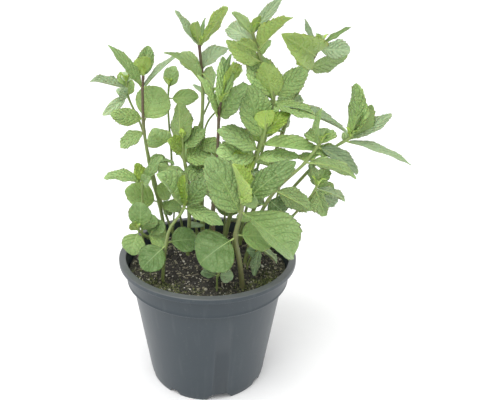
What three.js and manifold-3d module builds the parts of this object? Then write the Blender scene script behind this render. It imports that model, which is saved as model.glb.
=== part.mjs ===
// A mint plant in a 12 cm nursery pot, in millimetres, with +Z up.
// The origin is on the pot's axis at the level of its base, and the side that
// faces -Y is the front. Every leafy stem is one piece that stands in a hole in
// the soil, the soil fills the pot, and the pot stands on its flat base ring.

import * as THREE from "three";
import { mergeVertices } from "three/addons/utils/BufferGeometryUtils.js";
import Module from "manifold-3d";

const wasm = await Module();
wasm.setup();

// Driving dimensions of the pot
const POT_HEIGHT = 92;
const RIM_RADIUS = 60;
const RIM_FLANGE = 4.7;
const RIM_LIP = 3.4;
const COLLAR_TOP_RADIUS = 56.2;
const COLLAR_FOOT_RADIUS = 54.9;
const COLLAR_DEPTH = 16.4;
const SHOULDER_RADIUS = 51.7;
const BASE_RADIUS = 41;
const WALL = 1.6;
const FLOOR_THICKNESS = 2;
const FOOT_RECESS = 4.2;
const FOOT_RING_WIDTH = 7;
const CENTRE_PAD_RADIUS = 12;
const CHAMFER = 1.2;
const POT_SIDES = 40;

// Drainage notches at the foot: wide ones, and small ones half way between
// them, each narrower at its top
const NOTCH_PAIRS = 4;
const NOTCHES = [
  { width: 18, topWidth: 10, height: 5 },
  { width: 9, topWidth: 3, height: 3.8 },
];
const NOTCH_DEPTH = 18;
const NOTCH_DROP = 1;
const NOTCH_FIRST_TURN = -78.5;

// Soil
const SOIL_TOP = 83;
const SOIL_BUMP = 1.1;
const SOIL_WAVES = [6, 9];
const SOIL_GAP = 0.3;
const SOIL_EDGE = 4;
const SOIL_RINGS = 4;
const SOIL_SIDES = 28;
const SOIL_FOOT = FOOT_RECESS + FLOOR_THICKNESS + SOIL_GAP;
const HOLE_DEPTH = 14;
const HOLE_GAP = 0.35;
const HOLE_SIDES = 6;

// Stems and leaves
const STEM_SIDES = 5;
const STEM_STEP = 20;
const HALVINGS = 30;
const STEM_FOOT = SOIL_TOP - HOLE_DEPTH + HOLE_GAP;
const STEM_START = SOIL_TOP + 2.5;
const BLADE_THICKNESS = 1.2;
const PETIOLE_RADIUS = 0.7;
const TIP_RADIUS = 0.15;
const FEWEST_TEETH = 2;
const MOST_TEETH = 5;
const TOOTH_DEPTH = 0.09;
const TOOTH_LEAN = 0.35;
const USUAL_BEND = 0.02;

const POT_COLOUR = 0x59616a;
const SOIL_COLOUR = 0x3b3833;

// The five kinds of leaf: how the outline swells (two exponents), how far the
// two halves fold up about the midrib, the share of its length that is
// petiole, how many millimetres a tooth takes, and the colour
const AGES = {
  young: { early: 0.85, full: 0.65, fold: 0.2, petiole: 0.06, pitch: 8.5, colour: 0x9fc258 },
  tip: { early: 0.8, full: 0.8, fold: 0.22, petiole: 0.06, pitch: 8.5, colour: 0x8fb25f },
  oval: { early: 0.88, full: 0.62, fold: 0.1, petiole: 0.08, pitch: 8, colour: 0x79a35a },
  blunt: { early: 1.3, full: 0.6, fold: 0.1, petiole: 0.06, pitch: 8, colour: 0x8aae5c },
  round: { early: 0.95, full: 0.55, fold: 0.05, petiole: 0.16, pitch: 9, colour: 0x86ad62 },
};

// Every leafy stem: its name, the points that its middle runs through above
// the soil, its radius at the foot and at the tip, and its leaves. A leaf reads
// [height of its root, heading, rise, length, width, roll, age, bend, fold]:
// the heading is turned from +X towards +Y, the rise is above the level, the
// roll turns the blade about its own length, the bend lifts its middle, and the
// fold lifts its two halves. The last two may be left to their usual values.
const STEMS = [
  {
    name: "stem_left_tall",
    path: [
      [-30, 28, STEM_START], [-34, 26, 116], [-38, 24, 136],
      [-42, 21, 169], [-42, 20, 196], [-41, 20, 208],
    ],
    radius: [1.5, 0.8],
    leaves: [
      [116, -5, -8, 16, 11, 30, "round"],
      [118, -165, 27, 26, 18, -55, "round"],
      [132, 18, -38, 16, 14, 50, "round"],
      [149, -15, 5, 18, 12, -10, "oval"],
      [171, -162, -30, 19, 12, -32, "oval", 0.04],
      [180, -133, 16, 27, 11, -90, "oval", 0, -0.1],
      [177, 49, 52, 27, 23, 48, "round", 0],
      [200, -170, 54, 34, 9, -47, "tip", 0.08],
      [200, 9, 40, 34, 9, 11, "tip", 0.05],
      [207, 67, 63, 21, 10, 29, "oval", 0],
      [207, -69, 68, 15, 11, -5, "young", 0.15],
    ],
  },
  {
    name: "stem_left_side",
    path: [[-44, 14, STEM_START], [-46, 14, 100], [-45, 15, 120], [-44, 15, 137]],
    radius: [0.9, 0.7],
    leaves: [
      [137, -171, 12, 26, 11, -24, "oval", 0.14],
      [137, 129, 61, 14, 10, 5, "oval"],
      [137, -13, 55, 24, 11, 45, "oval", -0.02],
      [137, -65, 31, 16, 9, 105, "oval"],
    ],
  },
  {
    name: "stem_left_back",
    path: [
      [-25, 37, STEM_START], [-35, 44, 113], [-42, 45, 145],
      [-46, 40, 169], [-53, 33, 191], [-54, 33, 202],
    ],
    radius: [1, 0.7],
    leaves: [
      [191, 95, 53, 17, 11, 50, "round"],
      [193, -126, -21, 25, 7, -68, "round", 0.06],
      [193, -117, 23, 12, 9, -95, "oval"],
      [198, -164, 15, 24, 12, -14, "oval", 0.01, 0.4],
      [198, 115, 49, 13, 9, -5, "oval"],
      [201, 63, 61, 9, 9, 0, "young"],
    ],
  },
  {
    name: "stem_back_thin",
    path: [[-18, 41, STEM_START], [-25, 44, 128], [-26, 42, 152], [-27, 38, 182], [-26, 36, 199]],
    radius: [1, 0.6],
    leaves: [
      [138, -165, 22, 18, 15, -35, "round", 0.07],
      [138, -109, 3, 21, 14, -45, "round", 0.07],
      [157, -159, 40, 17, 22, -129, "round", 0.06, 0.2],
      [161, 33, 13, 19, 14, 25, "round"],
      [188, 166, -29, 18, 14, -45, "round"],
      [190, -11, 6, 21, 12, 52, "round", 0.01],
      [196, 24, 75, 16, 13, 29, "round", 0],
    ],
  },
  {
    name: "stem_middle_left",
    path: [[-14, 12, STEM_START], [-12, 8, 124], [-13, 6, 142], [-16, 6, 163], [-16, 8, 170]],
    radius: [1.4, 0.9],
    leaves: [
      [147, -139, 0, 15, 15, -35, "oval"],
      [152, -34, -34, 17, 17, 10, "oval"],
      [156, 13, 13, 18, 17, 35, "oval"],
      [163, -136, 36, 14, 13, -65, "oval"],
      [163, 23, 39, 20, 13, 25, "oval"],
      [165, 99, 59, 29, 19, 130, "oval", 0],
    ],
  },
  {
    name: "stem_top_left",
    path: [[-3, 22, STEM_START], [-4, 20, 122], [-4, 16, 167], [-3, 14, 200], [-5, 12, 228]],
    radius: [1.7, 0.9],
    leaves: [
      [104, 60, 8, 16, 14, 0, "round"],
      [104, -130, 8, 13, 12, 0, "round"],
      [122, -135, 19, 12, 14, -70, "round"],
      [143, 144, 2, 14, 16, -30, "oval"],
      [143, 40, 27, 14, 16, 10, "oval"],
      [167, -19, -27, 14, 13, 30, "oval"],
      [167, 133, 14, 14, 14, -30, "oval"],
      [198, 148, 33, 9, 5, -5, "young"],
      [205, -164, 40, 31, 13, 21, "tip", 0.06, 0.4],
      [213, 26, 32, 23, 15, 16, "tip", 0.14],
      [211, 122, 20, 28, 10, -40, "oval", 0.07],
      [211, -65, -18, 19, 15, -91, "oval", 0.04],
      [229, -140, 50, 27, 8, -63, "tip", -0.05],
      [227, 42, 43, 32, 12, -74, "blunt", 0.01],
      [229, -99, 47, 21, 6, 24, "young", 0.11, 0.4],
      [229, 71, 60, 18, 4, -34, "young", -0.02],
    ],
  },
  {
    name: "stem_middle_dark",
    path: [[4, 5, STEM_START], [4, 2, 126], [6, 0, 151], [7, -3, 187], [8, -3, 196]],
    radius: [1.5, 0.8],
    leaves: [
      [144, -153, 4, 13, 16, -40, "oval"],
      [144, -98, -10, 18, 16, -5, "oval"],
      [186, -162, 65, 30, 12, -35, "tip"],
      [186, -30, 51, 29, 20, 44, "oval", 0.04, -0.1],
      [189, 80, 63, 36, 12, 38, "oval", 0.11],
      [193, 125, 29, 14, 6, 5, "young"],
      [196, 56, 28, 31, 26, 122, "oval", -0.07, -0.3],
      [195, 65, 61, 32, 5, 7, "oval", 0.05],
    ],
  },
  {
    name: "stem_middle_bright",
    path: [[17, 8, STEM_START], [22, 2, 119], [26, -4, 145], [33, -10, 172], [36, -10, 185]],
    radius: [1.7, 0.9],
    leaves: [
      [112, 50, 5, 15, 13, 0, "round"],
      [153, -53, -38, 13, 14, 0, "oval"],
      [161, -148, 3, 19, 15, -55, "oval"],
      [162, -4, 4, 26, 14, 20, "oval"],
      [163, -162, 12, 27, 18, -45, "oval"],
      [167, 180, 27, 29, 18, -30, "oval", 0.08],
      [172, 3, -8, 39, 11, 32, "tip", 0, 0.8],
      [174, 169, 72, 35, 21, -55, "oval"],
      [177, 15, 42, 21, 13, 25, "oval"],
      [180, -93, 62, 17, 12, 10, "young", 0.12],
    ],
  },
  {
    name: "stem_top_middle",
    path: [[10, 18, STEM_START], [19, 12, 126], [30, 6, 156], [40, 0, 195], [36, -2, 209], [26, -3, 237]],
    radius: [1.8, 0.8],
    leaves: [
      [118, 140, 10, 17, 15, 0, "round"],
      [140, 60, 12, 18, 14, 0, "oval"],
      [168, 110, 15, 18, 14, 0, "oval"],
      [194, -12, -18, 49, 14, 5, "tip", 0.04, 0.4],
      [195, -29, -13, 29, 14, 20, "oval"],
      [196, -127, 64, 28, 16, 30, "tip"],
      [199, 24, 34, 28, 14, 77, "oval", -0.01],
      [198, 165, 59, 30, 20, -45, "oval"],
      [219, -171, 31, 26, 12, 120, "tip", 0],
      [223, 55, 36, 15, 7, -10, "tip"],
      [227, -57, 35, 35, 14, -5, "tip", 0.05, 0.5],
      [232, 122, 12, 30, 11, -54, "oval", 0.02, 0.4],
      [236, 29, 45, 29, 7, 46, "tip", 0],
      [236, 170, 46, 17, 9, 45, "young", -0.04],
      [236, -28, 67, 11, 7, -25, "young"],
      [226, -138, 23, 19, 8, 60, "oval"],
    ],
  },
  {
    name: "stem_top_right",
    path: [[24, 30, STEM_START], [38, 24, 128], [48, 18, 166], [58, 12, 202], [65, 9, 221], [69, 8, 229]],
    radius: [1.7, 0.8],
    leaves: [
      [122, 75, 8, 14, 13, 0, "round"],
      [146, 120, 12, 18, 14, 0, "oval"],
      [172, 69, 25, 15, 6, 0, "oval"],
      [172, -140, 15, 15, 12, 0, "oval"],
      [191, -60, 25, 10, 9, 75, "oval"],
      [191, 101, 12, 19, 15, -30, "oval"],
      [212, 111, 31, 13, 9, 5, "oval"],
      [214, 35, 9, 35, 14, 114, "oval", 0],
      [222, -133, 23, 39, 18, 69, "oval", -0.1, -1],
      [226, -29, 1, 19, 12, 56, "blunt", 0],
      [227, 126, 51, 21, 7, 12, "tip", -0.08, -0.1],
      [228, 180, 71, 8, 7, 30, "young"],
      [228, 15, 29, 22, 5, 16, "tip", 0.03, 0.1],
    ],
  },
  {
    name: "stem_right",
    path: [[26, 0, STEM_START], [33, -6, 119], [43, -12, 142], [59, -16, 161], [68, -17, 175]],
    radius: [1.5, 0.9],
    leaves: [
      [131, -160, 12, 15, 13, 50, "oval"],
      [135, 26, -42, 18, 17, 90, "oval"],
      [142, -28, -20, 25, 16, -78, "oval", 0],
      [162, -25, -9, 32, 12, -56, "oval", 0.07],
      [162, 58, 20, 11, 16, -15, "oval", 0.01],
      [172, 8, -34, 33, 11, 47, "oval", 0.07, 0.3],
      [172, -98, 76, 26, 9, 110, "tip"],
      [173, 68, 47, 12, 19, -7, "oval", 0],
      [174, -39, 73, 11, 8, -30, "young"],
      [168, 19, 3, 19, 9, 40, "oval"],
    ],
  },
  {
    name: "stem_far_right",
    path: [[32, 14, STEM_START], [44, 6, 117], [55, 0, 138], [74, -6, 164], [88, -7, 175]],
    radius: [1.5, 0.9],
    leaves: [
      [112, 120, 5, 14, 12, 0, "round"],
      [174, 1, 88, 34, 17, 25, "oval", -0.1, -0.1],
      [173, -2, -20, 45, 9, 19, "tip", 0.05],
      [175, 17, 61, 23, 15, -76, "young", 0, -0.6],
      [175, 10, 28, 29, 9, 37, "oval", 0],
      [172, 48, 6, 25, 12, 0, "oval"],
    ],
  },
  {
    name: "stem_right_low",
    path: [[35, 6, STEM_START], [46, -2, 110], [54, -8, 121], [64, -15, 138], [68, -17, 147]],
    radius: [1.1, 0.8],
    leaves: [
      [143, 27, -30, 23, 11, 97, "oval"],
      [145, -42, -62, 18, 17, -77, "oval", 0, -0.3],
      [145, 6, -23, 21, 9, -55, "oval"],
      [146, 31, -18, 17, 8, 74, "oval"],
      [146, 131, 65, 15, 10, 84, "oval", 0],
      [147, 57, 23, 17, 8, 35, "oval", 0, 0.5],
    ],
  },
  {
    name: "stem_front_big",
    path: [[22, -32, STEM_START], [20, -33, 102], [17, -36, 121], [19, -43, 138], [20, -46, 147]],
    radius: [1.9, 1.1],
    leaves: [
      [121, -161, -31, 27, 30, -35, "round"],
      [123, 14, -10, 25, 21, 35, "round"],
      [139, -175, 61, 40, 24, -62, "oval", 0.04],
      [142, -3, -41, 43, 26, 35, "blunt", 0.04, 0.6],
      [146, -130, 70, 29, 16, -55, "tip", 0.02, 0.8],
      [146, -61, 39, 17, 10, -75, "young"],
      [147, 8, 39, 38, 15, 40, "oval", 0.04],
      [147, 72, 70, 18, 8, 30, "young"],
    ],
  },
  {
    name: "stem_front_left",
    path: [[-29, -24, STEM_START], [-28, -24, 97], [-24, -26, 120], [-16, -30, 134], [-14, -30, 139]],
    radius: [1.2, 0.8],
    leaves: [
      [110, -152, -36, 21, 19, -30, "round"],
      [112, 17, -2, 21, 18, 35, "round"],
      [138, -10, -21, 26, 11, 25, "oval", 0.04],
      [138, 22, 47, 23, 15, 25, "oval"],
      [139, -160, 56, 27, 22, -39, "oval", 0, 0.5],
      [138, -81, 82, 22, 11, 120, "tip"],
    ],
  },
  {
    name: "stem_left_low",
    path: [[-35, 8, STEM_START], [-38, 2, 100], [-42, -3, 106], [-46, -6, 112]],
    radius: [1, 0.8],
    leaves: [
      [104, 42, 36, 15, 15, 15, "round"],
      [105, 23, -17, 16, 18, 55, "round"],
      [109, 70, 26, 17, 15, 10, "round"],
      [111, 75, 77, 19, 16, 0, "round"],
      [111, -130, -60, 17, 16, -25, "round"],
      [111, -128, 46, 11, 6, 70, "round"],
    ],
  },
  {
    name: "shoot_left_back",
    path: [[-26, 34, STEM_START], [-25, 33, 99], [-24, 33, 111]],
    radius: [0.8, 0.6],
    leaves: [
      [108, -150, 7, 8, 7, -40, "round"],
      [110, 167, 28, 10, 7, -15, "round"],
      [111, -110, 35, 7, 8, 20, "round"],
    ],
  },
  {
    name: "stem_back_middle",
    path: [[2, 38, STEM_START], [4, 42, 110], [6, 44, 136], [7, 43, 148]],
    radius: [1.3, 0.8],
    leaves: [
      [112, 75, 8, 22, 19, 0, "round"],
      [107, -8, 2, 21, 12, 55, "round"],
      [128, 10, 12, 21, 16, 0, "oval"],
      [128, -170, 12, 21, 16, 0, "oval"],
      [138, 100, 8, 24, 16, 0, "oval"],
      [147, 20, 35, 20, 12, 0, "tip"],
      [147, -160, 35, 20, 12, 0, "tip"],
      [147, 110, 50, 15, 9, 0, "young"],
    ],
  },
  {
    name: "stem_back_right",
    path: [[24, 37, STEM_START], [31, 43, 115], [38, 44, 145], [44, 40, 174]],
    radius: [1.3, 0.8],
    leaves: [
      [97, -175, 5, 13, 11, 40, "round"],
      [116, 60, 5, 22, 19, 0, "round"],
      [142, 150, 12, 20, 15, 0, "oval"],
      [142, -30, 12, 18, 14, 0, "oval"],
      [160, 75, 18, 25, 17, 0, "oval"],
      [173, 160, 35, 21, 12, 0, "tip"],
      [173, 0, 30, 18, 11, 0, "tip"],
      [173, 75, 55, 17, 10, 0, "young"],
    ],
  },
  {
    name: "stem_back_left",
    path: [[-8, 42, STEM_START], [-11, 46, 110], [-12, 47, 140]],
    radius: [1.1, 0.8],
    leaves: [
      [106, 125, 5, 21, 18, 0, "round"],
      [106, -55, 5, 13, 12, 0, "round"],
      [124, -140, 12, 14, 12, 0, "oval"],
      [139, 120, 30, 19, 12, 0, "tip"],
      [139, -60, 45, 15, 10, 0, "tip"],
    ],
  },
  {
    name: "stem_right_back",
    path: [[40, 22, STEM_START], [47, 28, 108], [52, 31, 132]],
    radius: [1.1, 0.8],
    leaves: [
      [107, 165, 5, 15, 13, 20, "round"],
      [131, 30, 35, 15, 10, 0, "tip"],
      [131, 130, 40, 15, 10, 0, "tip"],
    ],
  },
  {
    name: "stem_thin_left",
    path: [
      [-13, 30, STEM_START], [-14, 30, 120], [-10, 30, 155], [-6, 30, 172], [3, 31, 193],
    ],
    radius: [0.8, 0.6],
    leaves: [
      [189, 70, 5, 12, 7, 10, "oval"],
      [192, 120, 20, 11, 7, 0, "young"],
    ],
  },
  {
    name: "stem_thin_right",
    path: [[12, 31, STEM_START], [12, 31, 112], [4, 30, 142], [-2, 30, 163], [0, 30, 175], [8, 30, 185]],
    radius: [0.8, 0.6],
    leaves: [
      [184, 10, 12, 16, 9, 0, "oval"],
      [185, 80, 20, 12, 8, 0, "oval"],
    ],
  },
  {
    name: "seedling_right",
    path: [[27, -8, STEM_START], [30, -10, 95], [36, -14, 103]],
    radius: [0.8, 0.6],
    leaves: [
      [98, -124, 28, 11, 8, -75, "round"],
      [101, -110, -50, 18, 8, 25, "oval"],
      [102, -20, -35, 14, 7, -65, "oval"],
    ],
  },
  {
    name: "seedling_front",
    path: [[6, -36, STEM_START], [6, -37, 93], [7, -37, 96]],
    radius: [0.7, 0.6],
    leaves: [
      [95, -24, 9, 10, 9, 50, "round"],
      [95, 169, 9, 11, 8, -20, "round"],
    ],
  },
];

const radians = THREE.MathUtils.degToRad;

// A closed solid from a three.js geometry, or from bare positions and triangles
function solid(geometry) {
  const bare = geometry.clone();
  bare.deleteAttribute("normal");
  bare.deleteAttribute("uv");
  const merged = mergeVertices(bare, 1e-4);
  return new wasm.Manifold(new wasm.Mesh({
    numProp: 3,
    vertProperties: new Float32Array(merged.attributes.position.array),
    triVerts: new Uint32Array(merged.index.array),
  }));
}

function geometryOf(manifold) {
  const { vertProperties, triVerts } = manifold.getMesh();
  const geometry = new THREE.BufferGeometry();
  geometry.setAttribute("position", new THREE.BufferAttribute(vertProperties, 3));
  geometry.setIndex(new THREE.BufferAttribute(triVerts, 1));
  geometry.computeVertexNormals();
  return geometry;
}

// A skin over rings of equal size, closed by a flat cap at the first ring and
// by a cap at the last. Each ring runs anticlockwise seen from its far end.
function skin(rings) {
  const sides = rings[0].length;
  const points = rings.flat();
  const triangles = [];
  for (let ring = 0; ring + 1 < rings.length; ring += 1) {
    for (let side = 0; side < sides; side += 1) {
      const next = (side + 1) % sides;
      const [a, b] = [ring * sides + side, ring * sides + next];
      const [c, d] = [a + sides, b + sides];
      triangles.push(a, b, d, a, d, c);
    }
  }
  const last = (rings.length - 1) * sides;
  for (let side = 1; side + 1 < sides; side += 1) {
    triangles.push(0, side + 1, side);
    triangles.push(last, last + side, last + side + 1);
  }
  const geometry = new THREE.BufferGeometry().setFromPoints(points);
  geometry.setIndex(triangles);
  return geometry;
}

// Pot: one closed outline turned about the axis, with the notches cut away
function pot() {
  const lipBottom = POT_HEIGHT - RIM_LIP;
  const collarFoot = POT_HEIGHT - COLLAR_DEPTH;
  const innerTop = RIM_RADIUS - RIM_FLANGE;
  const outline = [
    [0, 0], [CENTRE_PAD_RADIUS, 0], [CENTRE_PAD_RADIUS + CHAMFER, FOOT_RECESS],
    [BASE_RADIUS - FOOT_RING_WIDTH - CHAMFER, FOOT_RECESS], [BASE_RADIUS - FOOT_RING_WIDTH, 0],
    [BASE_RADIUS - CHAMFER, 0], [BASE_RADIUS, CHAMFER],
    [SHOULDER_RADIUS, collarFoot - CHAMFER], [COLLAR_FOOT_RADIUS, collarFoot],
    [COLLAR_TOP_RADIUS, lipBottom], [RIM_RADIUS, lipBottom],
    [RIM_RADIUS, POT_HEIGHT], [innerTop, POT_HEIGHT],
    [COLLAR_FOOT_RADIUS - WALL, collarFoot + CHAMFER], [SHOULDER_RADIUS - WALL, collarFoot - CHAMFER],
    [BASE_RADIUS - WALL, FOOT_RECESS + FLOOR_THICKNESS], [0, FOOT_RECESS + FLOOR_THICKNESS],
  ].map(([radius, height]) => new THREE.Vector2(radius, height));
  const lathe = new THREE.LatheGeometry(outline, POT_SIDES);
  lathe.rotateX(Math.PI / 2);
  let body = solid(lathe);
  for (let notch = 0; notch < 2 * NOTCH_PAIRS; notch += 1) {
    const { width, topWidth, height } = NOTCHES[notch % 2];
    const [half, top] = [width / 2, topWidth / 2];
    const face = new THREE.Shape([
      [half, -NOTCH_DROP], [half, 0], [top, height],
      [-top, height], [-half, 0], [-half, -NOTCH_DROP],
    ].map(([along, up]) => new THREE.Vector2(along, up)));
    const turn = radians(NOTCH_FIRST_TURN + (notch * 180) / NOTCH_PAIRS);
    const cutter = new THREE.ExtrudeGeometry(face, { depth: NOTCH_DEPTH, bevelEnabled: false });
    cutter.rotateX(Math.PI / 2);
    cutter.rotateZ(-Math.PI / 2);
    cutter.translate(BASE_RADIUS + NOTCH_DEPTH / 2, 0, 0);
    cutter.rotateZ(turn);
    body = body.subtract(solid(cutter));
  }
  return geometryOf(body);
}

// Height of the soil's uneven top at a place, a sum of slow waves
function soilHeight(x, y) {
  const [short, long] = SOIL_WAVES;
  const wave = Math.sin(x / short + 1) * Math.cos(y / short) + Math.sin((x - y) / long);
  return SOIL_TOP + (SOIL_BUMP * wave) / 2;
}

// Inner radius of the pot at a height
function potInside(height) {
  const collarFoot = POT_HEIGHT - COLLAR_DEPTH;
  if (height > collarFoot + CHAMFER) {
    const share = (height - collarFoot - CHAMFER) / (COLLAR_DEPTH - CHAMFER);
    return THREE.MathUtils.lerp(COLLAR_FOOT_RADIUS - WALL, RIM_RADIUS - RIM_FLANGE, share);
  }
  const floor = FOOT_RECESS + FLOOR_THICKNESS;
  const share = (height - floor) / (collarFoot - CHAMFER - floor);
  return THREE.MathUtils.lerp(BASE_RADIUS, SHOULDER_RADIUS, Math.min(share, 1)) - WALL;
}

// Soil: rings that rise up the inside of the pot and close over the top
function soil(roots) {
  const flat = Math.cos(Math.PI / POT_SIDES);
  const ring = (radius, height) => Array.from({ length: SOIL_SIDES }, (_, side) => {
    const turn = (side * 2 * Math.PI) / SOIL_SIDES;
    const [x, y] = [radius * Math.cos(turn), radius * Math.sin(turn)];
    return new THREE.Vector3(x, y, height === null ? soilHeight(x, y) : height);
  });
  const collarFoot = POT_HEIGHT - COLLAR_DEPTH;
  const side = (height) => potInside(height) * flat - SOIL_GAP;
  const [shoulder, edge] = [collarFoot + CHAMFER, SOIL_TOP - SOIL_EDGE];
  const rings = [SOIL_FOOT, shoulder, edge].map((height) => ring(side(height), height));
  for (let step = 0; step < SOIL_RINGS; step += 1) {
    rings.push(ring(side(edge) * (1 - step / SOIL_RINGS), null));
  }
  let body = solid(skin(rings));
  for (const { place, radius } of roots) {
    const hole = new THREE.CylinderGeometry(radius, radius, 2 * HOLE_DEPTH, HOLE_SIDES);
    hole.rotateX(Math.PI / 2);
    hole.translate(place.x, place.y, SOIL_TOP);
    body = body.subtract(solid(hole));
  }
  return geometryOf(body);
}

// The middle line of a stem above the soil
function stemCurve(path) {
  const points = path.map((point) => new THREE.Vector3(...point));
  return new THREE.CatmullRomCurve3(points, false, "catmullrom", 0.5);
}

// The share of a stem's curve at which it reaches a height, by halving
function shareAt(curve, height) {
  let [low, high] = [0, 1];
  for (let turn = 0; turn < HALVINGS; turn += 1) {
    const middle = (low + high) / 2;
    if (curve.getPoint(middle).z < height) low = middle;
    else high = middle;
  }
  return (low + high) / 2;
}

// Stem: rings along its middle line, with one more straight below for its foot
function stemSolid(curve, [foot, tip]) {
  const ring = (middle, along, radius) => {
    const across = new THREE.Vector3(0, 1, 0).cross(along).normalize();
    const third = new THREE.Vector3().crossVectors(along, across);
    return Array.from({ length: STEM_SIDES }, (_, side) => {
      const turn = (side * 2 * Math.PI) / STEM_SIDES;
      return middle.clone()
        .addScaledVector(across, radius * Math.cos(turn))
        .addScaledVector(third, radius * Math.sin(turn));
    });
  };
  const upright = new THREE.Vector3(0, 0, 1);
  const steps = Math.max(3, Math.round(curve.getLength() / STEM_STEP));
  const rings = [ring(curve.getPoint(0).setZ(STEM_FOOT), upright, foot)];
  for (let step = 0; step <= steps; step += 1) {
    const share = step / steps;
    const along = step ? curve.getTangent(share) : upright;
    rings.push(ring(curve.getPoint(share), along, THREE.MathUtils.lerp(foot, tip, share)));
  }
  return solid(skin(rings));
}

// Leaf: three-cornered rings (right edge, keel of the midrib, left edge) from
// the stem's middle along the petiole and the toothed blade to its tip. The
// keel is below the blade, or above it where the two halves fold down.
function leafSolid(root, row) {
  const [, heading, rise, length, width, roll, age, bend = USUAL_BEND, fold = AGES[age].fold] = row;
  const { early, full, petiole, pitch } = AGES[age];
  const [h, r, t] = [heading, rise, roll].map(radians);
  const along = new THREE.Vector3(Math.cos(r) * Math.cos(h), Math.cos(r) * Math.sin(h), Math.sin(r));
  const level = new THREE.Vector3(-Math.sin(r) * Math.cos(h), -Math.sin(r) * Math.sin(h), Math.cos(r));
  const beside = new THREE.Vector3().crossVectors(along, level);
  const up = level.multiplyScalar(Math.cos(t)).addScaledVector(beside, Math.sin(t));
  const side = new THREE.Vector3().crossVectors(along, up);
  const ring = (share, half, thick) => {
    const lift = 4 * bend * length * share * (1 - share);
    const at = (across, above) => root.clone()
      .addScaledVector(along, share * length)
      .addScaledVector(side, across)
      .addScaledVector(up, lift + above + fold * Math.abs(across));
    const downwards = [at(-half, 0), at(0, thick), at(half, 0)];
    return fold < 0 ? downwards : [at(half, 0), at(0, -thick), at(-half, 0)];
  };
  const teeth = THREE.MathUtils.clamp(Math.round(length / pitch), FEWEST_TEETH, MOST_TEETH);
  const rings = [0, petiole].map((share) => ring(share, PETIOLE_RADIUS, BLADE_THICKNESS));
  for (let step = 1; step < 2 * teeth; step += 1) {
    const lean = step % 2 ? TOOTH_LEAN : 0;
    const share = (step + lean) / (2 * teeth);
    const swell = Math.sin(Math.PI * share ** early) ** full;
    const tooth = step % 2 ? 1 + TOOTH_DEPTH / 2 : 1 - TOOTH_DEPTH / 2;
    const half = Math.max((width / 2) * swell * tooth, PETIOLE_RADIUS);
    rings.push(ring(petiole + share * (1 - petiole), half, BLADE_THICKNESS));
  }
  rings.push(ring(1, TIP_RADIUS, TIP_RADIUS));
  return solid(skin(rings));
}

function leafyStem({ path, radius, leaves }) {
  const curve = stemCurve(path);
  let body = stemSolid(curve, radius);
  for (const leaf of leaves) {
    body = body.add(leafSolid(curve.getPoint(shareAt(curve, leaf[0])), leaf));
  }
  return geometryOf(body);
}

function part(name, geometry, color, roughness) {
  const material = new THREE.MeshStandardMaterial({ color, roughness, metalness: 0 });
  const mesh = new THREE.Mesh(geometry, material);
  mesh.name = name;
  return mesh;
}

const roots = STEMS.map(({ path, radius }) => ({
  place: new THREE.Vector2(path[0][0], path[0][1]),
  radius: (radius[0] + HOLE_GAP) / Math.cos(Math.PI / HOLE_SIDES),
}));

const plant = new THREE.Group();
plant.add(part("pot", pot(), POT_COLOUR, 0.45));
plant.add(part("soil", soil(roots), SOIL_COLOUR, 0.95));
for (const stem of STEMS) {
  plant.add(part(stem.name, leafyStem(stem), AGES.oval.colour, 0.6));
}

export default plant;
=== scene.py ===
"""A mint plant in a 12 cm nursery pot, seen from the front and a little above.

Everything is in metres in the model's own frame, +Z up, with the origin on the
pot's axis at its base. The stems and leaves follow one plan, given in
millimetres and degrees, and every new surface is worked out as an array.
"""

import math

import bpy
import numpy as np
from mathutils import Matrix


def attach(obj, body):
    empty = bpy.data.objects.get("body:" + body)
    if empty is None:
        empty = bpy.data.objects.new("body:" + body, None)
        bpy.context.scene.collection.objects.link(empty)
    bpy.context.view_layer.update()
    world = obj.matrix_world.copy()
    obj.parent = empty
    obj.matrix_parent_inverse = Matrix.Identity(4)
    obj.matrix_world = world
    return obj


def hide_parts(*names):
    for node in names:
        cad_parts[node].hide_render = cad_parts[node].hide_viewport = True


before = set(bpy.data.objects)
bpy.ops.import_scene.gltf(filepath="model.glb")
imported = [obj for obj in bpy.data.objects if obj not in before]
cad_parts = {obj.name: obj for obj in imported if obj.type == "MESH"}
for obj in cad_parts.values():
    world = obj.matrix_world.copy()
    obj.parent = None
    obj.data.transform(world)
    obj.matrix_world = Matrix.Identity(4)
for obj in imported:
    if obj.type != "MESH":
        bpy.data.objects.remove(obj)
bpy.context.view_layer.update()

MM = 0.001

# Camera
CAMERA_PLACE = (0.0, -0.3365, 0.2686)
CAMERA_PITCH = 22.32
CAMERA_LENS = 39.8
CAMERA_SHIFT = 0.085

# Light: a white sky and a wide soft key from the upper left front, and the floor
SKY_POWER = 1.0
KEY_POWER = 1.5
KEY_SPREAD = 40
KEY_TURNS = (28, 0, -35)
FLOOR_RADIUS = 14000

# Pot, in millimetres
POT_HEIGHT = 92
RIM_RADIUS = 60
RIM_FLANGE = 4.7
RIM_LIP = 3.4
COLLAR_TOP_RADIUS = 56.2
COLLAR_FOOT_RADIUS = 54.9
COLLAR_DEPTH = 16.4
SHOULDER_RADIUS = 51.7
BASE_RADIUS = 41
WALL = 1.6
FLOOR_THICKNESS = 2
FOOT_RECESS = 4.2
FOOT_RING_WIDTH = 7
CENTRE_PAD_RADIUS = 12
CHAMFER = 1.2
POT_SEGMENTS = 336
# The bead at the collar's foot, out from and up from it
BEAD = ((0.1, -0.3), (0.5, 0.5), (0.1, 1.7))
# Radius of the small fans that close a turned piece on the axis
HUB = 0.4
# Drainage notches, wide and small in turn: width, width at the top and height
NOTCH_PAIRS = 4
NOTCHES = ((18, 10, 5), (9, 3, 3.8))
NOTCH_FIRST_TURN = -78.5

# Soil, in millimetres
SOIL_TOP = 83
SOIL_GAP = 0.3
SOIL_EDGE = 4
SOIL_BUMP = 1.1
SOIL_WAVES = (6, 9)
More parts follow.
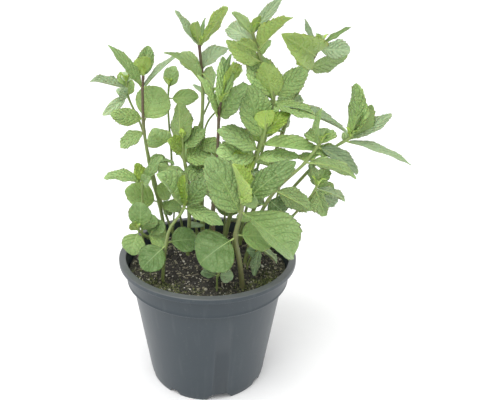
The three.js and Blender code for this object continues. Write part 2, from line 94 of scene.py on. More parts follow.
# Lumps on the soil's waves: height, width and seed
SOIL_LUMPS = ((0.7, 5.0, 3), (0.5, 2.4, 5), (0.35, 1.1, 7))
# Mossy sides: direction, spread and strength; and the radii between which moss sets in
MOSS_SIDES = ((-125, 32, 1.0), (-42, 28, 0.9))
MOSS_REACH = (30, 44)
SOIL_SEGMENTS = 150
SOIL_ROWS = 60
CRUMBS = 5600
# The share of light crumbs, what the rim adds to it, and the radius where that starts
LIGHT_CRUMBS = 0.28
LIGHT_NEAR_RIM = 0.12
SOIL_MIDDLE = 36
CRUMB_STRETCH = 1.3
WHITE_GRAINS = 50
WHITE_SIZES = (0.35, 0.7)
WHITE_STRETCH = 1.1
FIBRES = 90
FIBRE_SIZES = (0.22, 0.4)
FIBRE_STRETCH = 9.0
MOSS_TUFTS = 420
TUFT_BLADES = 5
TUFT_LENGTHS = (1.2, 2.6)
TUFT_WIDTH = 0.28
SOIL_SEED = 41

# Colours, as a screen shows them: where there are two, from dark to light
OLD_GREENS = (72, 106, 42), (160, 196, 118)
YOUNG_GREENS = (86, 120, 20), (180, 212, 76)
# Frosted leaves: a pale grey-green that is painted sheen
SHEEN_GREENS = (92, 120, 78), (192, 216, 170)
LEAF_UNDERSIDE = (184, 204, 150)
LEAF_MOTTLE = (176, 200, 140)
# Painted shade in the leaves' sunk veins and creases
CREASE_SHADE = (66, 100, 48)
LEAF_UNDER_VEIN = (186, 206, 140)
LEAF_RIB = (200, 220, 160)
# Painted highlight on the domes of the leaves' quilting
DOME_HIGHLIGHT = (196, 216, 156)
STEM_GREENS = (134, 156, 88), (178, 202, 118)
STEM_PURPLES = (70, 48, 52), (112, 84, 74)
SLATES = (41, 52, 59), (53, 63, 70)
POT_RUN = (108, 114, 114)
POT_DUST = (140, 138, 126)
# The rim's top: partly wear and dust, partly painted light where it catches the light
RIM_WEAR_AND_LIGHT = (112, 114, 112)
EARTHS = (30, 30, 31), (70, 66, 60)
TAN_CRUMB = (146, 140, 118)
WHITE_GRAIN = (232, 230, 220)
MOSSES = (48, 64, 36), (160, 166, 100)
PAPERS = (248, 248, 248), (252, 252, 252)

# Leaves: the five kinds have an outline (two exponents), a fold of the two
# halves, the share of the length that is petiole, teeth to a side, tooth depth
# and quilting in millimetres, and pairs of side veins
AGES = {
    "young": dict(early=0.85, full=0.65, fold=0.2, petiole=0.06, teeth=9, tooth=0.4,
                  quilt=0.35, veins=5),
    "tip": dict(early=0.8, full=0.8, fold=0.22, petiole=0.06, teeth=11, tooth=0.6,
                quilt=0.6, veins=6),
    "oval": dict(early=0.88, full=0.62, fold=0.1, petiole=0.08, teeth=12, tooth=0.6,
                 quilt=0.8, veins=5.6),
    "blunt": dict(early=1.3, full=0.6, fold=0.1, petiole=0.06, teeth=12, tooth=0.7,
                  quilt=0.75, veins=5.6),
    "round": dict(early=0.95, full=0.55, fold=0.05, petiole=0.16, teeth=9, tooth=0.3,
                  quilt=0.4, veins=4.6),
}
# One sign for each leaf of a stem, in its order, or the usual ones where none is
# given, which are enough for eight leaves: its shade from dark to light is a to e,
# A to E where the leaf is young and yellow-green, and 1 to 5 where it is frosted:
# painted sheen, a pale grey-green.
# Most of these signs were chosen by a script from the leaves' colours in the photo
SIGNS = "abcde" + "ABCDE" + "12345"
YOUTHS = (0.1, 0.9, 0.0)
SHEEN_SHARES = (0.1, 0.0, 0.9)
LEAF_TONES = {
    "stem_left_tall": "ceecdedc3cD",
    "stem_left_side": "dDcc",
    "stem_left_back": "e553e5",
    "stem_back_thin": "ceeccdc",
    "stem_middle_left": "dcdCcA",
    "stem_top_left": "c2dcceC5c3dc4DCb",
    "stem_middle_dark": "cbebebEb",
    "stem_middle_bright": "e5DeedecCE",
    "stem_top_middle": "cbD3dCdeCdC43cCC",
    "stem_top_right": "ce5c5cCcC325b",
    "stem_right": "aacde2ddce",
    "stem_far_right": "cd3A3e",
    "stem_right_low": "2d3ece",
    "stem_front_big": "acccDbbC",
    "stem_front_left": "aadbdC",
    "stem_left_low": "becbcC",
    "stem_back_right": "5cbdccbe",
    "stem_back_left": "cbceb",
    "seedling_right": "125",
    "seedling_front": "31",
}
USUAL_TONES = "cbdccbCC"
# Added to a stem's seed. They were picked by a search: with them, fewer straying
# leaves pass through those of other stems, though some still do
SEED_STEPS = {
    "stem_right": 8, "stem_middle_bright": 7, "stem_far_right": 10,
    "stem_top_left": 32, "stem_middle_dark": 3,
}
# The crown at a stem's end: size and rise of its two pairs of leaves
CROWN_PAIRS = ((7.0, 58), (4.5, 74))
CROWN_TONE = "E"
# Teeth: rows to a tooth, the fewest to a side, the length from which a leaf has
# its kind's number of them, and the width from which they have its depth
TOOTH_STEPS = (0.0, 0.4, 0.75, 0.93)
FEWEST_TEETH = 4
TOOTHED_LENGTH = 24
TOOTHED_WIDTH = 14
BLADE_COLUMNS = 20
BLADE_THICKNESS = 0.36
VEIN_SLANT = 0.42
CELL_LENGTH = 2.6
USUAL_BEND = 0.02

# Stems, in millimetres
STEM_START = SOIL_TOP + 2.5
STEM_FOOT = SOIL_TOP - 13.6
STEM_SIDES = 12
STEM_STEP = 1.6
STEM_CORNERS = 0.07
# A stem swells where a pair of leaves leaves it: by what share, and how far along
NODE_SWELL = 0.22
NODE_REACH = 1.3
HAIRS_PER_STEP = 4
HAIR_LENGTHS = (0.6, 1.1)
HAIR_WIDTH = 0.07

# How purple-brown a stem is low down and near its tip, and the shares of its
# length between which it turns from the one to the other; the others are green
STEM_TONES = {
    "stem_left_tall": (0.2, 0.9, 0.6, 0.75),
    "stem_top_left": (0.2, 0.95, 0.78, 0.88),
    "stem_middle_dark": (0.8, 0.9, 0.5, 0.8),
    "stem_front_big": (0.6, 0.4, 0.3, 0.8),
    "stem_top_right": (0.3, 0.75, 0.5, 0.8),
    "stem_top_middle": (0.3, 0.3, 0.5, 0.8),
    "stem_back_middle": (0.4, 0.6, 0.5, 0.8),
}
USUAL_TONE = (0.3, 0.1, 0.5, 0.8)

# The plan, in millimetres and degrees: a leaf is its root's height, its heading
# from +X towards +Y, rise, length, width, roll and kind, and then its bend and
# its fold where they aren't the usual ones. Scripts worked most of the rows out
# from places read off the photo, and fitted some of them to outlines
STEMS = [
    dict(name="stem_left_tall", radius=(1.5, 0.8), path=[
        (-30, 28, STEM_START), (-34, 26, 116), (-38, 24, 136),
        (-42, 21, 169), (-42, 20, 196), (-41, 20, 208),
    ], leaves=[
        (116, -5, -8, 16, 11, 30, "round"),
        (118, -165, 27, 26, 18, -55, "round"),
        (132, 18, -38, 16, 14, 50, "round"),
        (149, -15, 5, 18, 12, -10, "oval"),
        (171, -162, -30, 19, 12, -32, "oval", 0.04),
        (180, -133, 16, 27, 11, -90, "oval", 0, -0.1),
        (177, 49, 52, 27, 23, 48, "round", 0),
        (200, -170, 54, 34, 9, -47, "tip", 0.08),
        (200, 9, 40, 34, 9, 11, "tip", 0.05),
        (207, 67, 63, 21, 10, 29, "oval", 0),
        (207, -69, 68, 15, 11, -5, "young", 0.15),
    ]),
    dict(name="stem_left_side", radius=(0.9, 0.7), path=[
        (-44, 14, STEM_START), (-46, 14, 100), (-45, 15, 120), (-44, 15, 137),
    ], leaves=[
        (137, -171, 12, 26, 11, -24, "oval", 0.14),
        (137, 129, 61, 14, 10, 5, "oval"),
        (137, -13, 55, 24, 11, 45, "oval", -0.02),
        (137, -65, 31, 16, 9, 105, "oval"),
    ]),
    dict(name="stem_left_back", radius=(1, 0.7), path=[
        (-25, 37, STEM_START), (-35, 44, 113), (-42, 45, 145),
        (-46, 40, 169), (-53, 33, 191), (-54, 33, 202),
    ], leaves=[
        (191, 95, 53, 17, 11, 50, "round"),
        (193, -126, -21, 25, 7, -68, "round", 0.06),
        (193, -117, 23, 12, 9, -95, "oval"),
        (198, -164, 15, 24, 12, -14, "oval", 0.01, 0.4),
        (198, 115, 49, 13, 9, -5, "oval"),
        (201, 63, 61, 9, 9, 0, "young"),
    ]),
    dict(name="stem_back_thin", radius=(1, 0.6), path=[
        (-18, 41, STEM_START), (-25, 44, 128), (-26, 42, 152),
        (-27, 38, 182), (-26, 36, 199),
    ], leaves=[
        (138, -165, 22, 18, 15, -35, "round", 0.07),
        (138, -109, 3, 21, 14, -45, "round", 0.07),
        (157, -159, 40, 17, 22, -129, "round", 0.06, 0.2),
        (161, 33, 13, 19, 14, 25, "round"),
        (188, 166, -29, 18, 14, -45, "round"),
        (190, -11, 6, 21, 12, 52, "round", 0.01),
        (196, 24, 75, 16, 13, 29, "round", 0),
    ]),
    dict(name="stem_middle_left", radius=(1.4, 0.9), path=[
        (-14, 12, STEM_START), (-12, 8, 124), (-13, 6, 142), (-16, 6, 163), (-16, 8, 170),
    ], leaves=[
        (147, -139, 0, 15, 15, -35, "oval"),
        (152, -34, -34, 17, 17, 10, "oval"),
        (156, 13, 13, 18, 17, 35, "oval"),
        (163, -136, 36, 14, 13, -65, "oval"),
        (163, 23, 39, 20, 13, 25, "oval"),
        (165, 99, 59, 29, 19, 130, "oval", 0),
    ]),
    dict(name="stem_top_left", radius=(1.7, 0.9), path=[
        (-3, 22, STEM_START), (-4, 20, 122), (-4, 16, 167), (-3, 14, 200), (-5, 12, 228),
    ], leaves=[
        (104, 60, 8, 16, 14, 0, "round"),
        (104, -130, 8, 13, 12, 0, "round"),
        (122, -135, 19, 12, 14, -70, "round"),
        (143, 144, 2, 14, 16, -30, "oval"),
        (143, 40, 27, 14, 16, 10, "oval"),
        (167, -19, -27, 14, 13, 30, "oval"),
        (167, 133, 14, 14, 14, -30, "oval"),
        (198, 148, 33, 9, 5, -5, "young"),
        (205, -164, 40, 31, 13, 21, "tip", 0.06, 0.4),
        (213, 26, 32, 23, 15, 16, "tip", 0.14),
        (211, 122, 20, 28, 10, -40, "oval", 0.07),
        (211, -65, -18, 19, 15, -91, "oval", 0.04),
        (229, -140, 50, 27, 8, -63, "tip", -0.05),
        (227, 42, 43, 32, 12, -74, "blunt", 0.01),
        (229, -99, 47, 21, 6, 24, "young", 0.11, 0.4),
        (229, 71, 60, 18, 4, -34, "young", -0.02),
    ]),
    dict(name="stem_middle_dark", radius=(1.5, 0.8), path=[
        (4, 5, STEM_START), (4, 2, 126), (6, 0, 151), (7, -3, 187), (8, -3, 196),
    ], leaves=[
        (144, -153, 4, 13, 16, -40, "oval"),
        (144, -98, -10, 18, 16, -5, "oval"),
        (186, -162, 65, 30, 12, -35, "tip"),
        (186, -30, 51, 29, 20, 44, "oval", 0.04, -0.1),
        (189, 80, 63, 36, 12, 38, "oval", 0.11),
        (193, 125, 29, 14, 6, 5, "young"),
        (196, 56, 28, 31, 26, 122, "oval", -0.07, -0.3),
        (195, 65, 61, 32, 5, 7, "oval", 0.05),
    ]),
    dict(name="stem_middle_bright", radius=(1.7, 0.9), path=[
        (17, 8, STEM_START), (22, 2, 119), (26, -4, 145), (33, -10, 172), (36, -10, 185),
    ], leaves=[
        (112, 50, 5, 15, 13, 0, "round"),
        (153, -53, -38, 13, 14, 0, "oval"),
        (161, -148, 3, 19, 15, -55, "oval"),
        (162, -4, 4, 26, 14, 20, "oval"),
        (163, -162, 12, 27, 18, -45, "oval"),
        (167, 180, 27, 29, 18, -30, "oval", 0.08),
        (172, 3, -8, 39, 11, 32, "tip", 0, 0.8),
        (174, 169, 72, 35, 21, -55, "oval"),
        (177, 15, 42, 21, 13, 25, "oval"),
        (180, -93, 62, 17, 12, 10, "young", 0.12),
    ]),
    dict(name="stem_top_middle", radius=(1.8, 0.8), path=[
        (10, 18, STEM_START), (19, 12, 126), (30, 6, 156),
        (40, 0, 195), (36, -2, 209), (26, -3, 237),
    ], leaves=[
        (118, 140, 10, 17, 15, 0, "round"),
        (140, 60, 12, 18, 14, 0, "oval"),
        (168, 110, 15, 18, 14, 0, "oval"),
        (194, -12, -18, 49, 14, 5, "tip", 0.04, 0.4),
        (195, -29, -13, 29, 14, 20, "oval"),
        (196, -127, 64, 28, 16, 30, "tip"),
        (199, 24, 34, 28, 14, 77, "oval", -0.01),
        (198, 165, 59, 30, 20, -45, "oval"),
        (219, -171, 31, 26, 12, 120, "tip", 0),
        (223, 55, 36, 15, 7, -10, "tip"),
        (227, -57, 35, 35, 14, -5, "tip", 0.05, 0.5),
        (232, 122, 12, 30, 11, -54, "oval", 0.02, 0.4),
        (236, 29, 45, 29, 7, 46, "tip", 0),
        (236, 170, 46, 17, 9, 45, "young", -0.04),
        (236, -28, 67, 11, 7, -25, "young"),
        (226, -138, 23, 19, 8, 60, "oval"),
    ]),
    dict(name="stem_top_right", radius=(1.7, 0.8), path=[
        (24, 30, STEM_START), (38, 24, 128), (48, 18, 166),
        (58, 12, 202), (65, 9, 221), (69, 8, 229),
    ], leaves=[
        (122, 75, 8, 14, 13, 0, "round"),
        (146, 120, 12, 18, 14, 0, "oval"),
        (172, 69, 25, 15, 6, 0, "oval"),
        (172, -140, 15, 15, 12, 0, "oval"),
        (191, -60, 25, 10, 9, 75, "oval"),
        (191, 101, 12, 19, 15, -30, "oval"),
        (212, 111, 31, 13, 9, 5, "oval"),
        (214, 35, 9, 35, 14, 114, "oval", 0),
        (222, -133, 23, 39, 18, 69, "oval", -0.1, -1),
        (226, -29, 1, 19, 12, 56, "blunt", 0),
        (227, 126, 51, 21, 7, 12, "tip", -0.08, -0.1),
        (228, 180, 71, 8, 7, 30, "young"),
        (228, 15, 29, 22, 5, 16, "tip", 0.03, 0.1),
    ]),
    dict(name="stem_right", radius=(1.5, 0.9), path=[
        (26, 0, STEM_START), (33, -6, 119), (43, -12, 142), (59, -16, 161), (68, -17, 175),
    ], leaves=[
        (131, -160, 12, 15, 13, 50, "oval"),
        (135, 26, -42, 18, 17, 90, "oval"),
        (142, -28, -20, 25, 16, -78, "oval", 0),
        (162, -25, -9, 32, 12, -56, "oval", 0.07),
        (162, 58, 20, 11, 16, -15, "oval", 0.01),
        (172, 8, -34, 33, 11, 47, "oval", 0.07, 0.3),
        (172, -98, 76, 26, 9, 110, "tip"),
        (173, 68, 47, 12, 19, -7, "oval", 0),
        (174, -39, 73, 11, 8, -30, "young"),
        (168, 19, 3, 19, 9, 40, "oval"),
    ]),
    dict(name="stem_far_right", radius=(1.5, 0.9), path=[
        (32, 14, STEM_START), (44, 6, 117), (55, 0, 138), (74, -6, 164), (88, -7, 175),
    ], leaves=[
        (112, 120, 5, 14, 12, 0, "round"),
        (174, 1, 88, 34, 17, 25, "oval", -0.1, -0.1),
        (173, -2, -20, 45, 9, 19, "tip", 0.05),
        (175, 17, 61, 23, 15, -76, "young", 0, -0.6),
        (175, 10, 28, 29, 9, 37, "oval", 0),
        (172, 48, 6, 25, 12, 0, "oval"),
    ]),
    dict(name="stem_right_low", radius=(1.1, 0.8), path=[
        (35, 6, STEM_START), (46, -2, 110), (54, -8, 121), (64, -15, 138), (68, -17, 147),
    ], leaves=[
        (143, 27, -30, 23, 11, 97, "oval"),
        (145, -42, -62, 18, 17, -77, "oval", 0, -0.3),
        (145, 6, -23, 21, 9, -55, "oval"),
        (146, 31, -18, 17, 8, 74, "oval"),
        (146, 131, 65, 15, 10, 84, "oval", 0),
        (147, 57, 23, 17, 8, 35, "oval", 0, 0.5),
    ]),
    dict(name="stem_front_big", radius=(1.9, 1.1), path=[
        (22, -32, STEM_START), (20, -33, 102), (17, -36, 121),
        (19, -43, 138), (20, -46, 147),
    ], leaves=[
        (121, -161, -31, 27, 30, -35, "round"),
        (123, 14, -10, 25, 21, 35, "round"),
        (139, -175, 61, 40, 24, -62, "oval", 0.04),
        (142, -3, -41, 43, 26, 35, "blunt", 0.04, 0.6),
        (146, -130, 70, 29, 16, -55, "tip", 0.02, 0.8),
        (146, -61, 39, 17, 10, -75, "young"),
        (147, 8, 39, 38, 15, 40, "oval", 0.04),
        (147, 72, 70, 18, 8, 30, "young"),
    ]),
    dict(name="stem_front_left", radius=(1.2, 0.8), path=[
        (-29, -24, STEM_START), (-28, -24, 97), (-24, -26, 120),
        (-16, -30, 134), (-14, -30, 139),
    ], leaves=[
        (110, -152, -36, 21, 19, -30, "round"),
        (112, 17, -2, 21, 18, 35, "round"),
        (138, -10, -21, 26, 11, 25, "oval", 0.04),
        (138, 22, 47, 23, 15, 25, "oval"),
        (139, -160, 56, 27, 22, -39, "oval", 0, 0.5),
        (138, -81, 82, 22, 11, 120, "tip"),
    ]),
    dict(name="stem_left_low", radius=(1, 0.8), path=[
        (-35, 8, STEM_START), (-38, 2, 100), (-42, -3, 106), (-46, -6, 112),
    ], leaves=[
        (104, 42, 36, 15, 15, 15, "round"),
        (105, 23, -17, 16, 18, 55, "round"),
        (109, 70, 26, 17, 15, 10, "round"),
        (111, 75, 77, 19, 16, 0, "round"),
        (111, -130, -60, 17, 16, -25, "round"),
        (111, -128, 46, 11, 6, 70, "round"),
    ]),
    dict(name="shoot_left_back", radius=(0.8, 0.6), path=[
        (-26, 34, STEM_START), (-25, 33, 99), (-24, 33, 111),
    ], leaves=[
        (108, -150, 7, 8, 7, -40, "round"),
        (110, 167, 28, 10, 7, -15, "round"),
        (111, -110, 35, 7, 8, 20, "round"),
    ]),
    dict(name="stem_back_middle", radius=(1.3, 0.8), path=[
        (2, 38, STEM_START), (4, 42, 110), (6, 44, 136), (7, 43, 148),
    ], leaves=[
        (112, 75, 8, 22, 19, 0, "round"),
        (107, -8, 2, 21, 12, 55, "round"),
        (128, 10, 12, 21, 16, 0, "oval"),
        (128, -170, 12, 21, 16, 0, "oval"),
        (138, 100, 8, 24, 16, 0, "oval"),
        (147, 20, 35, 20, 12, 0, "tip"),
        (147, -160, 35, 20, 12, 0, "tip"),
        (147, 110, 50, 15, 9, 0, "young"),
    ]),
    dict(name="stem_back_right", radius=(1.3, 0.8), path=[
        (24, 37, STEM_START), (31, 43, 115), (38, 44, 145), (44, 40, 174),
    ], leaves=[
        (97, -175, 5, 13, 11, 40, "round"),
        (116, 60, 5, 22, 19, 0, "round"),
        (142, 150, 12, 20, 15, 0, "oval"),
        (142, -30, 12, 18, 14, 0, "oval"),
        (160, 75, 18, 25, 17, 0, "oval"),
        (173, 160, 35, 21, 12, 0, "tip"),
        (173, 0, 30, 18, 11, 0, "tip"),
        (173, 75, 55, 17, 10, 0, "young"),
    ]),
    dict(name="stem_back_left", radius=(1.1, 0.8), path=[
        (-8, 42, STEM_START), (-11, 46, 110), (-12, 47, 140),
    ], leaves=[
        (106, 125, 5, 21, 18, 0, "round"),
        (106, -55, 5, 13, 12, 0, "round"),
        (124, -140, 12, 14, 12, 0, "oval"),
        (139, 120, 30, 19, 12, 0, "tip"),
        (139, -60, 45, 15, 10, 0, "tip"),
    ]),
    dict(name="stem_right_back", radius=(1.1, 0.8), path=[
        (40, 22, STEM_START), (47, 28, 108), (52, 31, 132),
    ], leaves=[
        (107, 165, 5, 15, 13, 20, "round"),
        (131, 30, 35, 15, 10, 0, "tip"),
        (131, 130, 40, 15, 10, 0, "tip"),
    ]),
    dict(name="stem_thin_left", radius=(0.8, 0.6), path=[
        (-13, 30, STEM_START), (-14, 30, 120), (-10, 30, 155), (-6, 30, 172), (3, 31, 193),
    ], leaves=[
        (189, 70, 5, 12, 7, 10, "oval"),
        (192, 120, 20, 11, 7, 0, "young"),
    ]),
    dict(name="stem_thin_right", radius=(0.8, 0.6), path=[
        (12, 31, STEM_START), (12, 31, 112), (4, 30, 142),
        (-2, 30, 163), (0, 30, 175), (8, 30, 185),
    ], leaves=[
        (184, 10, 12, 16, 9, 0, "oval"),
        (185, 80, 20, 12, 8, 0, "oval"),
    ]),
    dict(name="seedling_right", radius=(0.8, 0.6), path=[
        (27, -8, STEM_START), (30, -10, 95), (36, -14, 103),
    ], leaves=[
        (98, -124, 28, 11, 8, -75, "round"),
        (101, -110, -50, 18, 8, 25, "oval"),
        (102, -20, -35, 14, 7, -65, "oval"),
    ]),
    dict(name="seedling_front", radius=(0.7, 0.6), path=[
        (6, -36, STEM_START), (6, -37, 93), (7, -37, 96),
    ], leaves=[
        (95, -24, 9, 10, 9, 50, "round"),
        (95, 169, 9, 11, 8, -20, "round"),
    ]),
]


def unit(vectors):
    """Vectors divided by their lengths."""
    return vectors / np.linalg.norm(vectors, axis=-1, keepdims=True)


def smooth_path(points, step):
    """A Catmull-Rom curve through points, as places a step apart.

    Between b and c, with a before and d after them, a place is half of
    2b + (c - a)t + (2a - 5b + 4c - d)t^2 + (3b - a - 3c + d)t^3.
    """
    points = np.asarray(points, float)
    padded = np.vstack([2 * points[0] - points[1], points, 2 * points[-1] - points[-2]])
    spans = len(points) - 1
    length = np.linalg.norm(np.diff(points, axis=0), axis=1).sum()
    share = np.linspace(0, spans, max(4, int(length / step)))
    span = np.minimum(share.astype(int), spans - 1)
    t = (share - span)[:, None]
    a, b, c, d = (padded[span + k] for k in range(4))
    return 0.5 * (
        2 * b + (c - a) * t + (2 * a - 5 * b + 4 * c - d) * t**2 + (3 * b - a - 3 * c + d) * t**3
    )


def skin(rings):
    """(vertices, four-sided faces, three-sided faces) of a closed skin over rings of equal size.

    Each ring runs anticlockwise seen from its far end, and each end is closed
    by a fan of triangles to the middle of its ring.
    """
    count, sides, _ = rings.shape
    grid = np.arange(count * sides).reshape(count, sides)
    after = np.roll(grid, -1, axis=1)
    walls = np.stack([grid[:-1], after[:-1], after[1:], grid[1:]], -1).reshape(-1, 4)
    near, far = np.full(sides, count * sides), np.full(sides, count * sides + 1)
    fans = np.vstack([
        np.stack([near, after[0], grid[0]], -1), np.stack([far, grid[-1], after[-1]], -1),
    ])
    middles = np.stack([rings[0].mean(0), rings[-1].mean(0)])
    return np.vstack([rings.reshape(-1, 3), middles]), walls, fans


def tube(middle, radius, sides, guide, corners=0.0):
    """A closed tube round a line of places, square-cornered as mint stems are where asked.

    The section's radius at angle a is r (1 + corners cos 4a); a = 0 lies square
    to the guide direction.
    """
    along = unit(np.gradient(middle, axis=0))
    first = unit(np.cross(guide, along))
    second = np.cross(along, first)
    turn = np.arange(sides) * 2 * np.pi / sides
    reach = np.asarray(radius)[:, None] * (1 + corners * np.cos(4 * turn))
    return skin(
        middle[:, None]
        + (reach * np.cos(turn))[..., None] * first[:, None]
        + (reach * np.sin(turn))[..., None] * second[:, None]
    )


def turned(outline, segments, lift=None):
    """A closed solid of revolution over (radius, height) pairs from axis to axis.

    The pairs go outward along the underside, up the outside and back over the
    top; lift changes the heights, given the radii, the angles and the heights.
    """
    turn = np.arange(segments) * 2 * np.pi / segments
    radius, height = (np.repeat(np.asarray(outline, float)[:, k, None], segments, 1) for k in (0, 1))
    if lift:
        height = lift(radius, turn[None], height)
    return skin(np.stack([radius * np.cos(turn), radius * np.sin(turn), height], -1))


class Heap:
    """Closed skins gathered into one mesh, with some numbers carried by each vertex."""

    def __init__(self):
        self.places, self.walls, self.fans, self.numbers, self.count = [], [], [], {}, 0

    def add(self, skinned, **numbers):
        """Adds one skin; a number is one for the skin, or one for each of its vertices."""
        places, walls, fans = skinned
        self.places.append(places)
        self.walls.append(walls + self.count)
        self.fans.append(fans + self.count)
        for key, value in numbers.items():
            filled = np.broadcast_to(np.asarray(value, float), (len(places),))
            self.numbers.setdefault(key, []).append(filled)
        self.count += len(places)

    def piece(self, name, looks, smooth=True):
        """The object in metres; numbers named u and v make its UV map, the rest attributes."""
        walls, fans = np.vstack(self.walls), np.vstack(self.fans)
        corners = np.concatenate([walls.ravel(), fans.ravel()])
        sizes = np.repeat([4, 3], [len(walls), len(fans)])
        mesh = bpy.data.meshes.new(name)
        mesh.vertices.add(self.count)
        mesh.vertices.foreach_set("co", (np.vstack(self.places) * MM).ravel())
        mesh.loops.add(len(corners))
        mesh.loops.foreach_set("vertex_index", corners)
        mesh.polygons.add(len(sizes))
        mesh.polygons.foreach_set("loop_start", np.cumsum(sizes) - sizes)
        mesh.polygons.foreach_set("use_smooth", np.full(len(sizes), smooth))
        mesh.update(calc_edges=True)
        numbers = {key: np.concatenate(values) for key, values in self.numbers.items()}
        if "u" in numbers:
            pairs = np.stack([numbers.pop("u"), numbers.pop("v")], -1)[corners]
            mesh.uv_layers.new(name="blade").data.foreach_set("uv", pairs.ravel())
        for key, value in numbers.items():
            mesh.attributes.new(key, "FLOAT", "POINT").data.foreach_set("value", value)
        mesh.materials.append(looks)
        made = bpy.data.objects.new(name, mesh)
        bpy.context.scene.collection.objects.link(made)
        return made


def stand_for(piece, node):
    """The piece rides on the plant's one body and is shown in place of a node."""
    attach(piece, "root")
    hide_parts(node)


def lattice_noise(x, y, cell, seed):
    """Smooth heights from -1 to 1: random values on a square lattice, eased between."""
    side = 64
    grid = np.random.default_rng(seed).uniform(-1, 1, (side, side))
    gx, gy = x / cell + side, y / cell + side
    ix, iy = np.floor(gx).astype(int), np.floor(gy).astype(int)
    fx, fy = ((g - i) ** 2 * (3 - 2 * (g - i)) for g, i in ((gx, ix), (gy, iy)))

    def row(step):
        left, right = (grid[(ix + k) % side, (iy + step) % side] for k in (0, 1))
        return left * (1 - fx) + right * fx

    return row(0) * (1 - fy) + row(1) * fy


# Looks

def srgb(red, green, blue):
    """A colour as a screen shows it, from 0 to 255, in the renderer's linear values."""
    share = np.array([red, green, blue]) / 255
    return (*np.where(share > 0.04045, ((share + 0.055) / 1.055) ** 2.4, share / 12.92), 1.0)


class Looks:
    """A procedural material: each method adds a node and gives its output to build on."""

    def __init__(self, name, **constants):
        self.material = bpy.data.materials.new(name)
        self.material.use_nodes = True
        self.tree = self.material.node_tree
        self.shader = self.tree.nodes["Principled BSDF"]
        for socket, value in constants.items():
            self.shader.inputs[socket.replace("_", " ")].default_value = value

    def add(self, kind, inputs, output=0, **settings):
        node = self.tree.nodes.new("ShaderNode" + kind)
        for key, value in settings.items():
            setattr(node, key, value)
        for socket, value in inputs.items():
            self.feed(node.inputs[socket], value)
        return node.outputs[output]

    def feed(self, socket, value):
        if isinstance(value, bpy.types.NodeSocket):
            self.tree.links.new(value, socket)
        else:
            socket.default_value = value

    def number(self, name):
        """A number that the vertices carry."""
        return self.add("Attribute", {}, "Fac", attribute_name=name)

    def calc(self, operation, a, b=0.0, clamp=False):
        return self.add("Math", {0: a, 1: b}, operation=operation, use_clamp=clamp)

    def ease(self, value, start, end):
        """0 before start, 1 after end, eased between them."""
        return self.add(
            "MapRange", {"Value": value, "From Min": start, "From Max": end},
            interpolation_type="SMOOTHSTEP",
        )

    def blend(self, share, a, b):
        return self.add("Mix", {0: share, 6: a, 7: b}, 2, data_type="RGBA")

    def shades(self, share, dark, light):
        """A screen colour between two."""
        return self.blend(share, srgb(*dark), srgb(*light))

    def tinge(self, colour, toward, share, most=1.0):
        """The colour turned toward a screen colour, by most where the share is 1."""
        return self.blend(self.calc("MULTIPLY", share, most), colour, srgb(*toward))

    def noise(self, where, scale, detail=2.0):
        return self.add("TexNoise", {"Vector": where, "Scale": scale, "Detail": detail})

    def bump(self, height, depth, strength=1.0):
        return self.add("Bump", {"Height": height, "Distance": depth, "Strength": strength})

    def finish(self, colour, normal=None, roughness=None):
        self.feed(self.shader.inputs["Base Color"], colour)
        if normal:
            self.feed(self.shader.inputs["Normal"], normal)
        if roughness:
            self.feed(self.shader.inputs["Roughness"], roughness)
        return self.material


def leaf_looks():
    """Leaf: old to young greens, a pale grey-green painted sheen on frosted leaves, a paler
    underside, pale veins, painted shade in the creases of old leaves and painted highlights on the
    domes between them.
    """
    looks = Looks(
        "mint_leaf", Roughness=0.5, Subsurface_Weight=0.1, Subsurface_Scale=0.001,
        Sheen_Weight=0.1, Sheen_Roughness=0.4,
    )
    where = looks.add("UVMap", {}, uv_map="blade")
    across = looks.calc("ABSOLUTE", looks.add("SeparateXYZ", {0: where}, "Y"))
    under, youth, tint, frost, vein, fade, rib = (
        looks.number(name) for name in ("under", "youth", "tint", "frost", "vein", "fade", "rib")
    )
    # Frosted leaves take a pale grey-green: painted sheen
    old, young, sheen_green = (
        looks.shades(tint, *pair) for pair in (OLD_GREENS, YOUNG_GREENS, SHEEN_GREENS)
    )
    green = looks.blend(frost, looks.blend(youth, old, young), sheen_green)
    green = looks.tinge(green, LEAF_UNDERSIDE, under, 0.2)
    mottle = looks.ease(looks.noise(where, 1.8, 4.0), 0.35, 0.75)
    green = looks.tinge(green, LEAF_MOTTLE, mottle, 0.2)
    # Side veins and the net between them lie sunk, and on the upper face painted shade darkens them;
    # they are pale under the leaf
    side = looks.calc("ABSOLUTE", looks.calc("SINE", looks.calc("MULTIPLY", vein, math.pi)))
    side = looks.ease(side, 0.34, 0.0)
    cells = looks.add("TexVoronoi", {"Vector": where, "Scale": 4.6}, feature="DISTANCE_TO_EDGE")
    net = looks.calc("MULTIPLY", looks.ease(cells, 0.14, 0.0), 0.45)
    crease = looks.calc("MULTIPLY", looks.calc("MAXIMUM", side, net), fade)
    dark = looks.calc("SUBTRACT", 0.3, looks.calc("MULTIPLY", youth, 0.1))
    dark = looks.calc("MULTIPLY", dark, looks.calc("SUBTRACT", 1.0, under))
    green = looks.tinge(green, CREASE_SHADE, looks.calc("MULTIPLY", crease, dark))
    green = looks.tinge(green, LEAF_UNDER_VEIN, looks.calc("MULTIPLY", crease, under), 0.3)
    rib = looks.calc("MULTIPLY", looks.ease(across, 0.04, 0.01), rib)
    green = looks.tinge(green, LEAF_RIB, rib)
    # Painted highlight: the domes between the creases are made paler, as if lit
    domes = looks.calc("MULTIPLY", looks.ease(cells, 0.0, 0.5), fade)
    green = looks.tinge(green, DOME_HIGHLIGHT, domes, 0.15)
    domes = looks.calc("SUBTRACT", domes, looks.calc("MULTIPLY", crease, 1.5))
    return looks.finish(green, looks.bump(domes, 0.0005, 0.9))


